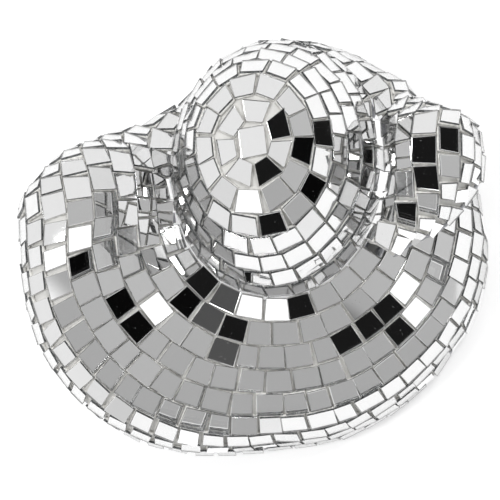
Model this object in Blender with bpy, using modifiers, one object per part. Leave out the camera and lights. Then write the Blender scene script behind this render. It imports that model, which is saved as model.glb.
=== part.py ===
"""New year party hat: an oval crown and a wavy wrap-over brim covered with rings of mirror tiles.

The outer face of the tiles is one reference surface. The crown's part of it is a dome on an oval
base, and the brim's part starts at the crown's base line and follows a bent profile that changes
around the hat. Every layer (tiles, felt, lining, sweatband) is that surface moved inwards.
+X is the right-hand side for someone who faces the front, +Y the back of the hat, +Z up.
"""

import math

import bmesh
import bpy
import numpy as np
from mathutils import Vector

# Crown, in metres: half sizes of the oval at the base line, and the height above it.
CROWN_HALF_WIDTH = 0.091
CROWN_HALF_LENGTH = 0.110
CROWN_HEIGHT = 0.104
CROWN_TOP_SLOPE = 3.0
CROWN_SHOULDER_SLOPE = 56.0
CROWN_BASE_SLOPE = 74.0
CROWN_SHOULDER = (0.16, 0.52)
CROWN_ARC = 0.168

# Tiles: squares of glass mirror laid ring by ring.
TILE = 0.021
JOINT = 0.001
GLASS = 0.002
PITCH = TILE + JOINT
CROWN_RINGS = 7
BRIM_RINGS = 9
CENTRE_TILE_ROOM = 0.018
CROWN_JOINT = 0.002
BRIM_COLUMNS = 56
BRIM_JOINT = 0.0018
VALLEY_GAP = 0.003

# Layers under the tiles, measured inwards from the tiles' outer face.
FELT_DEPTH = 0.0042
FELT = 0.003
LINING_DEPTH = FELT_DEPTH + FELT + 0.0006
LINING = 0.0008
SWEATBAND_DEPTH = LINING_DEPTH + LINING + 0.0006
SWEATBAND = 0.0015
SWEATBAND_HEIGHT = 0.034

# The brim's wire lies between the felt and the underbrim, which hangs clear of it.
WIRE_RADIUS = 0.0012
WIRE_DEPTH = FELT_DEPTH + FELT + 0.0021
WIRE_INSET = 0.009
UNDERBRIM_DEPTH = FELT_DEPTH + FELT + 0.0042
UNDERBRIM_INSET = 0.007
FELT_INSET = 0.0028
BINDING_RADIUS = 0.0034
BINDING_GAP = 0.0016

# The felt and binding are cut into lengths that meet at seams, given in degrees of turn. The
# crown's felt is a round tip on four side panels, which meet at this distance from its centre.
FELT_SEGMENTS = 7
BINDING_SEGMENTS = 4
CROWN_PANELS = 4
CROWN_TIP = 0.074
SEAM_TURN = 1.0
SEAM = 0.0014

# The brim is a strip that runs clockwise, seen from above, from under the flap at the right
# (0 degrees), past the front (90), the left wing (180) and the back (270), to the flap's tip.
# At each station: turn, slope at the crown, shares of the width where the bend starts and ends,
# slope at the edge (degrees, up is positive), width along the surface, height of the root.
BRIM_STATIONS = (
    (-6, -50, 0.40, 0.90, -88, 0.142, -0.006),
    (22, -42, 0.45, 0.95, -88, 0.152, -0.003),
    (50, -24, 0.35, 0.85, -88, 0.166, 0.000),
    (90, -24, 0.40, 0.86, -88, 0.186, 0.000),
    (124, 6, 0.46, 0.98, -86, 0.194, 0.000),
    (148, 38, 0.34, 1.00, -82, 0.202, 0.000),
    (168, 62, 0.21, 1.00, -75, 0.202, 0.000),
    (182, 60, 0.20, 0.96, -76, 0.160, 0.000),
    (192, 30, 0.14, 0.80, -78, 0.112, 0.000),
    (201, -20, 0.10, 0.60, -80, 0.090, 0.000),
    (214, -68, 0.30, 0.80, -80, 0.106, 0.000),
    (264, -78, 0.30, 0.80, -82, 0.126, 0.000),
    (290, -76, 0.30, 0.80, -80, 0.108, 0.000),
    (308, -68, 0.25, 0.75, -80, 0.080, 0.001),
    (322, -40, 0.20, 0.70, -80, 0.064, 0.003),
    (334, 24, 0.12, 0.60, -80, 0.066, 0.006),
    (344, 60, 0.18, 0.76, -80, 0.112, 0.008),
    (352, 67, 0.20, 0.84, -80, 0.156, 0.008),
    (362, 67, 0.20, 0.84, -80, 0.162, 0.008),
    (378, 67, 0.18, 0.84, -80, 0.124, 0.008),
    (396, 67, 0.14, 0.84, -80, 0.060, 0.008),
)
BRIM_START = BRIM_STATIONS[0][0]
BRIM_END = BRIM_STATIONS[-1][0]
PROFILE_STEPS = 48


def ease(x):
    """0 below 0, 1 above 1, and a smooth bend between."""
    x = np.clip(x, 0.0, 1.0)
    return x * x * (3 - 2 * x)


def through(stations, column, turn):
    """A curve with no overshoot through one column of the stations."""
    x = np.array([s[0] for s in stations], float)
    y = np.array([s[column] for s in stations], float)
    step = np.diff(x)
    slope = np.diff(y) / step
    tangent = np.zeros(len(x))
    same = slope[:-1] * slope[1:] > 0
    inner = np.where(same, 2 * slope[:-1] * slope[1:] / np.where(same, slope[:-1] + slope[1:], 1), 0)
    tangent[1:-1] = inner
    i = int(np.clip(np.searchsorted(x, turn) - 1, 0, len(step) - 1))
    h = step[i]
    a = (turn - x[i]) / h
    return (
        y[i] * (1 + 2 * a) * (1 - a) ** 2
        + h * tangent[i] * a * (1 - a) ** 2
        + y[i + 1] * a * a * (3 - 2 * a)
        + h * tangent[i + 1] * a * a * (a - 1)
    )


def crown_profile():
    """Shares of the half size and of the height, at equal steps from the top to the base line."""
    share = np.linspace(0, 1, PROFILE_STEPS + 1)
    middle = (share[1:] + share[:-1]) / 2
    start, end = CROWN_SHOULDER
    slope = CROWN_TOP_SLOPE * ease(middle / start)
    slope += (CROWN_SHOULDER_SLOPE - CROWN_TOP_SLOPE) * ease((middle - start) / (end - start))
    slope += (CROWN_BASE_SLOPE - CROWN_SHOULDER_SLOPE) * ease((middle - end) / (1 - end))
    out = np.concatenate([[0], np.cumsum(np.cos(np.radians(slope)))])
    down = np.concatenate([[0], np.cumsum(np.sin(np.radians(slope)))])
    return share, out / out[-1], down / down[-1]


CROWN_SHARE, CROWN_OUT, CROWN_DOWN = crown_profile()


def crown_point(turn, arc):
    """A point of the crown's outer face, arc metres from the top's centre."""
    share = arc / CROWN_ARC
    out = np.interp(share, CROWN_SHARE, CROWN_OUT)
    down = np.interp(share, CROWN_SHARE, CROWN_DOWN)
    angle = -math.radians(turn)
    return np.array([
        CROWN_HALF_WIDTH * out * math.cos(angle),
        CROWN_HALF_LENGTH * out * math.sin(angle),
        CROWN_HEIGHT * (1 - down),
    ])


def brim_width(turn):
    return through(BRIM_STATIONS, 5, turn)


def brim_point(turn, share):
    """A point of the brim's outer face, at this share of its width."""
    root, bend_start, bend_end, edge = (through(BRIM_STATIONS, c, turn) for c in (1, 2, 3, 4))
    steps = np.linspace(0, share, PROFILE_STEPS + 1)
    middle = (steps[1:] + steps[:-1]) / 2
    slope = np.radians(root + (edge - root) * ease((middle - bend_start) / (bend_end - bend_start)))
    run = brim_width(turn) * share / PROFILE_STEPS
    out = run * np.cos(slope).sum()
    up = run * np.sin(slope).sum() + through(BRIM_STATIONS, 6, turn)
    angle = -math.radians(turn)
    across = np.array([math.cos(angle) / CROWN_HALF_WIDTH, math.sin(angle) / CROWN_HALF_LENGTH])
    across /= np.linalg.norm(across)
    return np.array([
        CROWN_HALF_WIDTH * math.cos(angle) + across[0] * out,
        CROWN_HALF_LENGTH * math.sin(angle) + across[1] * out,
        up,
    ])


def below(surface, turn, along, depth):
    """The surface's point moved inwards by depth."""
    nudge_turn, nudge_along = 0.2, 0.002
    if surface is crown_point:
        nudge_along = 0.0004
        along = max(along, 2 * nudge_along)
    around = surface(turn + nudge_turn, along) - surface(turn - nudge_turn, along)
    outwards = surface(turn, along + nudge_along) - surface(turn, along - nudge_along)
    normal = np.cross(around, outwards)
    return surface(turn, along) - depth * normal / np.linalg.norm(normal)


def even_turns(surface, along, start, end, count):
    """Turns that cut a line of constant along into count equal lengths."""
    turns = np.linspace(start, end, 241)
    points = np.array([surface(t, along) for t in turns])
    length = np.concatenate([[0], np.cumsum(np.linalg.norm(np.diff(points, axis=0), axis=1))])
    return np.interp(np.linspace(0, length[-1], count + 1), length, turns), length[-1]


def material(name, colour, metallic, roughness):
    made = bpy.data.materials.new(name)
    made.diffuse_color = (*colour, 1.0)
    made.use_nodes = True
    shader = made.node_tree.nodes["Principled BSDF"]
    shader.inputs["Base Color"].default_value = (*colour, 1.0)
    shader.inputs["Metallic"].default_value = metallic
    shader.inputs["Roughness"].default_value = roughness
    return made


def sheet(name, surface, turns, alongs, depth, thickness, surfacing, closed, trims=(0.0, 0.0)):
    """A grid laid on the surface at this depth, given its thickness by Solidify.

    On the brim, trims are the metres taken off its inner and outer edges.
    """
    columns, rows = len(turns) - 1, len(alongs) - 1
    bm = bmesh.new()
    bmesh.ops.create_grid(bm, x_segments=columns, y_segments=rows, size=0.5)
    for vert in bm.verts:
        turn = turns[round((vert.co.x + 0.5) * columns)]
        row = round((vert.co.y + 0.5) * rows)
        along = alongs[row]
        if not closed:
            trim = {0: trims[0], rows: -trims[1]}.get(row, 0.0)
            along += trim / brim_width(turn)
        vert.co = below(surface, turn, along, depth)
    if closed:
        bmesh.ops.remove_doubles(bm, verts=bm.verts, dist=0.0001)
    mesh = bpy.data.meshes.new(name)
    bm.to_mesh(mesh)
    bm.free()
    mesh.materials.append(surfacing)
    obj = bpy.data.objects.new(name, mesh)
    HAT.objects.link(obj)
    wall = obj.modifiers.new("thickness", "SOLIDIFY")
    wall.thickness = thickness
    wall.offset = -1
    return obj


def tube(name, points, radius, surfacing):
    """A wire through these points."""
    curve = bpy.data.curves.new(name, "CURVE")
    curve.dimensions = "3D"
    curve.bevel_depth = radius
    curve.bevel_resolution = 2
    curve.use_fill_caps = True
    spline = curve.splines.new("POLY")
    spline.points.add(len(points) - 1)
    for made, point in zip(spline.points, points):
        made.co = (*point, 1)
    curve.materials.append(surfacing)
    obj = bpy.data.objects.new(name, curve)
    HAT.objects.link(obj)
    return obj


def block(name, size, height, surfacing):
    """A box centred on the hat's axis."""
    bm = bmesh.new()
    bmesh.ops.create_cube(bm, size=1)
    bmesh.ops.scale(bm, vec=size, verts=bm.verts)
    bmesh.ops.translate(bm, vec=(0, 0, height), verts=bm.verts)
    mesh = bpy.data.meshes.new(name)
    bm.to_mesh(mesh)
    bm.free()
    mesh.materials.append(surfacing)
    HAT.objects.link(bpy.data.objects.new(name, mesh))


def segments(turns, count):
    """The turns shared out into lengths, each drawn back a little from its seams."""
    columns = (len(turns) - 1) // count
    for first in range(0, len(turns) - 1, columns):
        part = turns[first:first + columns + 1].copy()
        part[0] += SEAM_TURN / 2
        part[-1] -= SEAM_TURN / 2
        yield part


def crown_layers():
    whole = np.linspace(0, 360, 25)
    tip_arcs = np.linspace(0, CROWN_TIP - SEAM, 7)
    sheet("crown_felt_tip", crown_point, whole, tip_arcs, FELT_DEPTH, FELT, FELT_WHITE, True)
    side_arcs = np.linspace(CROWN_TIP, CROWN_ARC - 0.002, 6)
    for number, part in enumerate(segments(whole, CROWN_PANELS), 1):
        name = f"crown_felt_side_{number}"
        sheet(name, crown_point, part, side_arcs, FELT_DEPTH, FELT, FELT_WHITE, False)
    lining_arcs = np.linspace(0, CROWN_ARC - 0.006, 9)
    sheet("crown_lining", crown_point, whole, lining_arcs, LINING_DEPTH, LINING, SATIN, True)
    band_arcs = np.linspace(CROWN_ARC - 0.004 - SWEATBAND_HEIGHT, CROWN_ARC - 0.004, 4)
    sheet("sweatband", crown_point, whole, band_arcs, SWEATBAND_DEPTH, SWEATBAND, GROSGRAIN, True)


def crown_tiles():
    block("crown_centre_tile", (TILE, TILE, GLASS), CROWN_HEIGHT - GLASS / 2, MIRROR)
    ends = np.linspace(CENTRE_TILE_ROOM, CROWN_ARC - JOINT, CROWN_RINGS + 1)
    for ring in range(CROWN_RINGS):
        arcs = (ends[ring] + CROWN_JOINT / 2, ends[ring + 1] - CROWN_JOINT / 2)
        middle = sum(arcs) / 2
        length = even_turns(crown_point, middle, 0, 360, 1)[1]
        count = round(length / PITCH)
        turns = even_turns(crown_point, middle, 0, 360, count)[0]
        name = f"crown_tile_ring_{ring + 1}"
        sheet(name, crown_point, turns, arcs, 0.0, GLASS, MIRROR, True)


def brim_turns():
    """The cuts between the brim's facets, which all its layers share so that they stay parallel."""
    even = even_turns(brim_point, 0.8, BRIM_START, BRIM_END, BRIM_COLUMNS)[0]
    return (even + np.linspace(BRIM_START, BRIM_END, BRIM_COLUMNS + 1)) / 2


def brim_layers(turns):
    shares = np.arange(BRIM_RINGS + 1) / BRIM_RINGS
    trims = (FELT_INSET, FELT_INSET)
    for number, part in enumerate(segments(turns, FELT_SEGMENTS), 1):
        name = f"brim_felt_{number}"
        sheet(name, brim_point, part, shares, FELT_DEPTH, FELT, FELT_WHITE, False, trims)
    trims = (UNDERBRIM_INSET, UNDERBRIM_INSET)
    sheet("underbrim_lining", brim_point, turns, shares, UNDERBRIM_DEPTH, LINING, SATIN, False, trims)


def brim_tiles(turns):
    for ring in range(BRIM_RINGS):
        shares = (ring / BRIM_RINGS, (ring + 1) / BRIM_RINGS)
        trims = (VALLEY_GAP if ring == 0 else BRIM_JOINT / 2, BRIM_JOINT / 2)
        name = f"brim_tile_ring_{ring + 1}"
        sheet(name, brim_point, turns, shares, 0.0, GLASS, MIRROR, False, trims)


def brim_edge(turns):
    depth = FELT_DEPTH + FELT / 2
    reach = BINDING_RADIUS + BINDING_GAP - FELT_INSET
    for number, part in enumerate(segments(turns, BINDING_SEGMENTS), 1):
        edge = [below(brim_point, t, 1 + reach / brim_width(t), depth) for t in part]
        tube(f"brim_binding_{number}", edge, BINDING_RADIUS, RIBBON)
    inset = [below(brim_point, t, 1 - WIRE_INSET / brim_width(t), WIRE_DEPTH) for t in turns[1:-1]]
    tube("brim_wire", inset, WIRE_RADIUS, STEEL)


def stand_on_floor():
    """Moves every piece alike, to put the middle of the hat's underside at the origin."""
    bpy.context.view_layer.update()
    corners = [obj.matrix_world @ Vector(c) for obj in HAT.objects for c in obj.bound_box]
    low = [min(c[i] for c in corners) for i in range(3)]
    high = [max(c[i] for c in corners) for i in range(3)]
    for obj in HAT.objects:
        obj.location = (-(low[0] + high[0]) / 2, -(low[1] + high[1]) / 2, -low[2])


for old in list(bpy.data.objects):
    bpy.data.objects.remove(old, do_unlink=True)

HAT = bpy.data.collections.new("new_year_party_hat")
bpy.context.scene.collection.children.link(HAT)
MIRROR = material("silvered_glass", (0.82, 0.83, 0.83), 1.0, 0.03)
FELT_WHITE = material("white_wool_felt", (0.74, 0.74, 0.74), 0.0, 0.9)
SATIN = material("grey_satin_lining", (0.45, 0.45, 0.47), 0.0, 0.45)
GROSGRAIN = material("black_grosgrain_sweatband", (0.02, 0.02, 0.02), 0.0, 0.7)
RIBBON = material("silver_edge_ribbon", (0.62, 0.62, 0.64), 0.4, 0.4)
STEEL = material("millinery_wire", (0.5, 0.5, 0.5), 1.0, 0.35)

crown_layers()
crown_tiles()
BRIM_TURNS = brim_turns()
brim_layers(BRIM_TURNS)
brim_tiles(BRIM_TURNS)
brim_edge(BRIM_TURNS)
stand_on_floor()
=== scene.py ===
"""New year party hat: a felt hat with a domed crown and a wrap-over brim, laid with glass mirror tiles."""

import math
import random

import bmesh
import bpy
import numpy as np
from bpy.props import FloatProperty, FloatVectorProperty, IntProperty, PointerProperty
from bpy.types import Operator, Panel, PropertyGroup
from mathutils import Matrix, Vector, noise


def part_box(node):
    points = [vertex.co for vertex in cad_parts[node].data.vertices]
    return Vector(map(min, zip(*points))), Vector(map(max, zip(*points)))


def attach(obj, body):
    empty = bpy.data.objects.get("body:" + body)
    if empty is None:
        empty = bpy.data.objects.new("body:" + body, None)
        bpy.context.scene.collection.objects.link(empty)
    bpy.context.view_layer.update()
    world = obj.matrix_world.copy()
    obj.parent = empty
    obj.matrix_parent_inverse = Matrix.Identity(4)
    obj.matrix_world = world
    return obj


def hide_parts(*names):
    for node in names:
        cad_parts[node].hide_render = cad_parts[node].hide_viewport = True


bl_info = {
    "name": "New Year Party Hat",
    "version": (1, 0, 0),
    "blender": (4, 5, 0),
    "location": "3D View > Sidebar > Party Hat",
    "description": "Builds a felt party hat laid with glass mirror tiles, and the studio it stands in",
    "category": "Add Mesh",
}

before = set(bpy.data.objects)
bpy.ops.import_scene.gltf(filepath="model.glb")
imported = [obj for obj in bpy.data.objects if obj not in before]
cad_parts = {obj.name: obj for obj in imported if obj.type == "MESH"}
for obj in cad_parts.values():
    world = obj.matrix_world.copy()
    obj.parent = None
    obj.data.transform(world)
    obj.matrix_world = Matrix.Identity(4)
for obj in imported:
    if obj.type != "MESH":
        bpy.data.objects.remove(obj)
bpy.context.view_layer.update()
BODY = "root"

MM = 0.001
GLASS_IOR = 1.52

# The crown's outer face, as the CAD has it: an oval dome, and its slope from the top to the base.
CROWN_HALF_WIDTH = 0.091
CROWN_HALF_LENGTH = 0.110
CROWN_HEIGHT = 0.104
CROWN_TOP_SLOPE = 3.0
CROWN_SHOULDER_SLOPE = 56.0
CROWN_BASE_SLOPE = 74.0
CROWN_SHOULDER = (0.16, 0.52)
CROWN_ARC = 0.168
CROWN_RINGS = 7
CENTRE_TILE_ROOM = 0.018

# Depths of the layers under the tiles' outer face.
FELT_DEPTH = 0.0042
FELT = 0.003
LINING_DEPTH = 0.0078
LINING = 0.0008
LINING_INSET = 0.006
TIP_SHARE = 0.45
SWEATBAND_DEPTH = 0.0092
SWEATBAND = 0.0015
SWEATBAND_HEIGHT = 0.034
UNDERBRIM_DEPTH = 0.0114
UNDERBRIM_INSET = 0.007
FELT_INSET = 0.0028
HEM_INSET = 0.0022
BINDING_RADIUS = 0.0034
BINDING_GAP = 0.0016
RIB = 0.0004
RIB_PITCH = 0.0055

# The brim strip, as the CAD has it. At each station: turn, slope at the crown, shares of the width
# where the bend starts and ends, slope at the edge, width, height of the root.
BRIM_STATIONS = (
    (-6, -50, 0.40, 0.90, -88, 0.142, -0.006),
    (22, -42, 0.45, 0.95, -88, 0.152, -0.003),
    (50, -24, 0.35, 0.85, -88, 0.166, 0.000),
    (90, -24, 0.40, 0.86, -88, 0.186, 0.000),
    (124, 6, 0.46, 0.98, -86, 0.194, 0.000),
    (148, 38, 0.34, 1.00, -82, 0.202, 0.000),
    (168, 62, 0.21, 1.00, -75, 0.202, 0.000),
    (182, 60, 0.20, 0.96, -76, 0.160, 0.000),
    (192, 30, 0.14, 0.80, -78, 0.112, 0.000),
    (201, -20, 0.10, 0.60, -80, 0.090, 0.000),
    (214, -68, 0.30, 0.80, -80, 0.106, 0.000),
    (264, -78, 0.30, 0.80, -82, 0.126, 0.000),
    (290, -76, 0.30, 0.80, -80, 0.108, 0.000),
    (308, -68, 0.25, 0.75, -80, 0.080, 0.001),
    (322, -40, 0.20, 0.70, -80, 0.064, 0.003),
    (334, 24, 0.12, 0.60, -80, 0.066, 0.006),
    (344, 60, 0.18, 0.76, -80, 0.112, 0.008),
    (352, 67, 0.20, 0.84, -80, 0.156, 0.008),
    (362, 67, 0.20, 0.84, -80, 0.162, 0.008),
    (378, 67, 0.18, 0.84, -80, 0.124, 0.008),
    (396, 67, 0.14, 0.84, -80, 0.060, 0.008),
)
BRIM_START = BRIM_STATIONS[0][0]
BRIM_END = BRIM_STATIONS[-1][0]

# The crown's first ring is laid with its cuts at these listed turns.
FIRST_RING = (-53, -3, 36, 83, 138, 193, 247, 307)

# Rows of brim tiles keep this width of strip between nine rows, and the strip's edge cuts them.
BRIM_ROWS = 9
ROW_WIDTH = ((-6, 0.182), (50, 0.182), (90, 0.186), (124, 0.194), (148, 0.202), (205, 0.202),
             (225, 0.192), (396, 0.192))

HEX = {
    "glass": "#F6F6F6",
    "silver": "#EDEDED",
    "pinhole": "#BDBEBE",
    "edge": "#3C3E3F",
    "edge_chip": "#8E9091",
    "felt": "#DAD9D6",
    "felt_shade": "#BFBEBB",
    "glue": "#E6E5E1",
    "satin": "#9A9BA1",
    "satin_dark": "#74757C",
    "grosgrain": "#1B1B1E",
    "grosgrain_dark": "#0C0C0E",
    "ribbon": "#C9CACD",
    "ribbon_dark": "#96979B",
    "thread": "#B8B9BC",
    "dark_thread": "#2A2A2E",
    "wire": "#E8E6DF",
    "wire_shade": "#B9B5AA",
    "floor": "#C4C4C4",
}


def linear(name):
    """A named sRGB hex colour as linear values, with full alpha."""
    shares = [int(HEX[name][i:i + 2], 16) / 255 for i in (1, 3, 5)]
    lit = [s / 12.92 if s <= 0.04045 else ((s + 0.055) / 1.055) ** 2.4 for s in shares]
    return (*lit, 1.0)


# ---------------------------------------------------------------------------------------------
# The hat's surface


def ease(x):
    """0 below 0, 1 above 1, and a smooth bend between."""
    x = np.clip(x, 0.0, 1.0)
    return x * x * (3 - 2 * x)


def through(stations, column, turn):
    """A curve with no overshoot through one column of the stations."""
    x = np.array([s[0] for s in stations], float)
    y = np.array([s[column] for s in stations], float)
    step = np.diff(x)
    slope = np.diff(y) / step
    tangent = np.zeros(len(x))
    same = slope[:-1] * slope[1:] > 0
    tangent[1:-1] = np.where(same, 2 * slope[:-1] * slope[1:] / np.where(same, slope[:-1] + slope[1:], 1), 0)
    i = int(np.clip(np.searchsorted(x, turn) - 1, 0, len(step) - 1))
    h = step[i]
    a = (turn - x[i]) / h
    return (
        y[i] * (1 + 2 * a) * (1 - a) ** 2
        + h * tangent[i] * a * (1 - a) ** 2
        + y[i + 1] * a * a * (3 - 2 * a)
        + h * tangent[i + 1] * a * a * (a - 1)
    )


def brim_width(turn):
    return through(BRIM_STATIONS, 5, turn)


def run_length(points):
    """How far along a line of points each of them is."""
    steps = np.linalg.norm(np.diff(points, axis=0), axis=1)
    return np.concatenate([[0], np.cumsum(steps)])


class Skin:
    """The outer face of the tiles as a table of points, by turn in degrees and share of the way outwards."""

    def __init__(self, turns, table):
        self.turns = np.asarray(turns, float)
        self.table = np.asarray(table)

    def at(self, turn, share):
        """The point at this turn and share, which may run a little past the table's ends."""
        rows, columns = self.table.shape[:2]
        across = (turn - self.turns[0]) / (self.turns[1] - self.turns[0])
        i = int(np.clip(math.floor(across), 0, rows - 2))
        down = share * (columns - 1)
        j = int(np.clip(math.floor(down), 0, columns - 2))
        a, b = across - i, down - j
        near = self.table[i, j] * (1 - b) + self.table[i, j + 1] * b
        far = self.table[i + 1, j] * (1 - b) + self.table[i + 1, j + 1] * b
        return near * (1 - a) + far * a

    def directions(self, turn, share):
        """Unit vectors round the hat, outwards along the surface, and out of the surface."""
        share = max(share, 0.02)
        around = self.at(turn + 0.6, share) - self.at(turn - 0.6, share)
        outwards = self.at(turn, share + 0.012) - self.at(turn, share - 0.012)
        normal = np.cross(around, outwards)
        normal /= np.linalg.norm(normal)
        around /= np.linalg.norm(around)
        return around, np.cross(normal, around), normal

    def below(self, turn, share, depth):
        """The point moved inwards by depth."""
        return self.at(turn, share) - depth * self.directions(turn, share)[2]

    def even_turns(self, share, start, end, count=None, pitch=None):
        """Turns that cut a line of constant share into equal lengths."""
        turns = np.linspace(start, end, 241)
        length = run_length([self.at(t, share) for t in turns])
        count = count or max(1, round(length[-1] / pitch))
        return np.interp(np.linspace(0, length[-1], count + 1), length, turns)


def hat_place():
    """The crown's axis at the height of its base line, from the CAD's middle tile."""
    low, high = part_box("crown_centre_tile")
    return np.array([(low[0] + high[0]) / 2, (low[1] + high[1]) / 2, high[2] - CROWN_HEIGHT])


def crown_skin():
    share = np.linspace(0, 1, 97)
    middle = (share[1:] + share[:-1]) / 2
    start, end = CROWN_SHOULDER
    slope = CROWN_TOP_SLOPE * ease(middle / start)
    slope += (CROWN_SHOULDER_SLOPE - CROWN_TOP_SLOPE) * ease((middle - start) / (end - start))
    slope += (CROWN_BASE_SLOPE - CROWN_SHOULDER_SLOPE) * ease((middle - end) / (1 - end))
    out = np.concatenate([[0], np.cumsum(np.cos(np.radians(slope)))])
    down = np.concatenate([[0], np.cumsum(np.sin(np.radians(slope)))])
    out, down = out / out[-1], down / down[-1]
    turns = np.arange(-20, 381, 1.0)
    angle = -np.radians(turns)[:, None]
    table = np.stack([
        CROWN_HALF_WIDTH * out * np.cos(angle),
        CROWN_HALF_LENGTH * out * np.sin(angle),
        CROWN_HEIGHT * (1 - down) + 0 * angle,
    ], axis=-1)
    return Skin(turns, table + hat_place())


def brim_skin():
    turns = np.arange(BRIM_START - 2, BRIM_END + 3, 1.0)
    share = np.linspace(0, 1, 97)
    middle = (share[1:] + share[:-1]) / 2
    table = np.zeros((len(turns), len(share), 3))
    for row, turn in enumerate(turns):
        root, start, end, edge, width, height = (through(BRIM_STATIONS, c, turn) for c in range(1, 7))
        slope = np.radians(root + (edge - root) * ease((middle - start) / (end - start)))
        run = width / len(middle)
        out = np.concatenate([[0], np.cumsum(np.cos(slope))]) * run
        up = np.concatenate([[0], np.cumsum(np.sin(slope))]) * run + height
        angle = -math.radians(turn)
        across = np.array([math.cos(angle) / CROWN_HALF_WIDTH, math.sin(angle) / CROWN_HALF_LENGTH])
        across /= np.linalg.norm(across)
        table[row, :, 0] = CROWN_HALF_WIDTH * math.cos(angle) + across[0] * out
        table[row, :, 1] = CROWN_HALF_LENGTH * math.sin(angle) + across[1] * out
        table[row, :, 2] = up
    return Skin(turns, table + hat_place())


CROWN = crown_skin()
BRIM = brim_skin()


# ---------------------------------------------------------------------------------------------
# Making pieces and materials


def node(tree, kind, inputs=(), **settings):
    """Adds a shader node with its settings, and its inputs as values or as other nodes' outputs."""
    made = tree.nodes.new(kind)
    for name, value in settings.items():
        setattr(made, name, value)
    for name, value in dict(inputs).items():
        if isinstance(value, bpy.types.NodeSocket):
            tree.links.new(value, made.inputs[name])
        else:
            made.inputs[name].default_value = value
    return made


def shader_of(name, **inputs):
    """A new material and its Principled shader, with plain values on the shader's own sockets."""
    made = bpy.data.materials.new(name)
    made.use_nodes = True
    shader = made.node_tree.nodes["Principled BSDF"]
    for socket, value in inputs.items():
        shader.inputs[socket.replace("_", " ")].default_value = value
    made.diffuse_color = shader.inputs["Base Color"].default_value
    return made, made.node_tree, shader


def drive(tree, shader, **outputs):
    """Feeds other nodes' outputs to the shader's sockets."""
    for socket, output in outputs.items():
        tree.links.new(output, shader.inputs[socket.replace("_", " ")])


def two_toned(tree, shader, factor, reach, dark, light):
    """Blends the shader's base colour from dark to light as a factor runs over its reach."""
    share = node(tree, "ShaderNodeMapRange", {"Value": factor, "From Min": reach[0], "From Max": reach[1]})
    blend = node(tree, "ShaderNodeMix", {"Factor": share.outputs["Result"], "A": dark, "B": light},
                 data_type="RGBA")
    drive(tree, shader, Base_Color=blend.outputs["Result"])


def grained(tree, shader, size, detail, strength, depth, **more):
    """Gives the surface lumps of this size, in metres, and returns their height as a factor."""
    place = node(tree, "ShaderNodeTexCoord").outputs["Object"]
    lumps = node(tree, "ShaderNodeTexNoise", {"Vector": place, "Scale": 1 / size, "Detail": detail, **more})
    bump = node(tree, "ShaderNodeBump", {"Height": lumps.outputs["Fac"], "Strength": strength,
                                         "Distance": depth})
    drive(tree, shader, Normal=bump.outputs["Normal"])
    return lumps.outputs["Fac"]


def set_cloth(bm, cloth, place):
    """Writes each vertex's place on the cloth, in metres, to the UV map."""
    for face in bm.faces:
        for loop in face.loops:
            loop[cloth].uv = place[loop.vert]


def add_copy(bm, mesh, placed):
    """Adds a mesh whose vertices go where placed(x, y, z) says."""
    before = len(bm.verts)
    bm.from_mesh(mesh)
    bm.verts.ensure_lookup_table()
    for vert in bm.verts[before:]:
        vert.co = placed(*vert.co)


def put(name, data):
    """A new object in the scene."""
    made = bpy.data.objects.new(name, data)
    bpy.context.scene.collection.objects.link(made)
    return made


def piece_of(bm, name, materials, replaces=(), smooth=True):
    """Turns a bmesh into a finished piece that rides on the hat."""
    for face in bm.faces:
        face.smooth = smooth
    mesh = bpy.data.meshes.new(name)
    bm.to_mesh(mesh)
    bm.free()
    for material in materials:
        mesh.materials.append(material)
    made = put(name, mesh)
    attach(made, BODY)
    if replaces:
        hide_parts(*replaces)
    return made


def thicken(piece, wall):
    """Gives a sheet its thickness, inwards from its outer face."""
    made = piece.modifiers.new("thickness", "SOLIDIFY")
    made.thickness = wall
    made.offset = -1
    return made


def share_at(share, turn):
    """A share that may depend on the turn."""
    return share(turn) if callable(share) else share


def laid_grid(skin, turns, shares, depth, closed=False, lift=None):
    """A bmesh grid laid on the skin at a depth, with a UV map in metres of cloth.

    lift(turn, share, point) gives how far a point stands above that depth.
    """
    columns, rows = len(turns) - 1, len(shares) - 1
    bm = bmesh.new()
    cloth = bm.loops.layers.uv.new("cloth")
    bmesh.ops.create_grid(bm, x_segments=columns, y_segments=rows, size=0.5)
    middle = shares[len(shares) // 2]
    around = run_length([skin.at(t, share_at(middle, t)) for t in turns])
    half = turns[columns // 2]
    down = run_length([skin.at(half, share_at(s, half)) for s in shares])
    place = {}
    for vert in bm.verts:
        column = round((vert.co.x + 0.5) * columns)
        row = round((vert.co.y + 0.5) * rows)
        turn = turns[column]
        share = share_at(shares[row], turn)
        point = skin.at(turn, share)
        up = lift(turn, share, point) if lift else 0.0
        vert.co = point - (depth - up) * skin.directions(turn, share)[2]
        place[vert] = (around[column], down[row])
    set_cloth(bm, cloth, place)
    if closed:
        bmesh.ops.remove_doubles(bm, verts=bm.verts, dist=0.0001)
    return bm


def rough_lift(height, size):
    """A lumpy rise of a surface, from 0 to height, with lumps of this size."""
    def lift(_turn, _share, point):
        return height * (0.5 + 0.5 * noise.noise(Vector(point) / size))
    return lift


# ---------------------------------------------------------------------------------------------
# Materials


def float_glass(tint):
    """Float glass, 2 mm, scored and snapped by hand: clear, so that the silver behind it shows."""
    made, tree, shader = shader_of("float_glass_hand_cut", Base_Color=tint, Roughness=0.0, IOR=GLASS_IOR,
                                   Transmission_Weight=1.0)
    # Float glass waves a little over 20 to 40 mm, which bends what it mirrors.
    grained(tree, shader, 30 * MM, 1.0, 0.06, MM)
    return made


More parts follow.
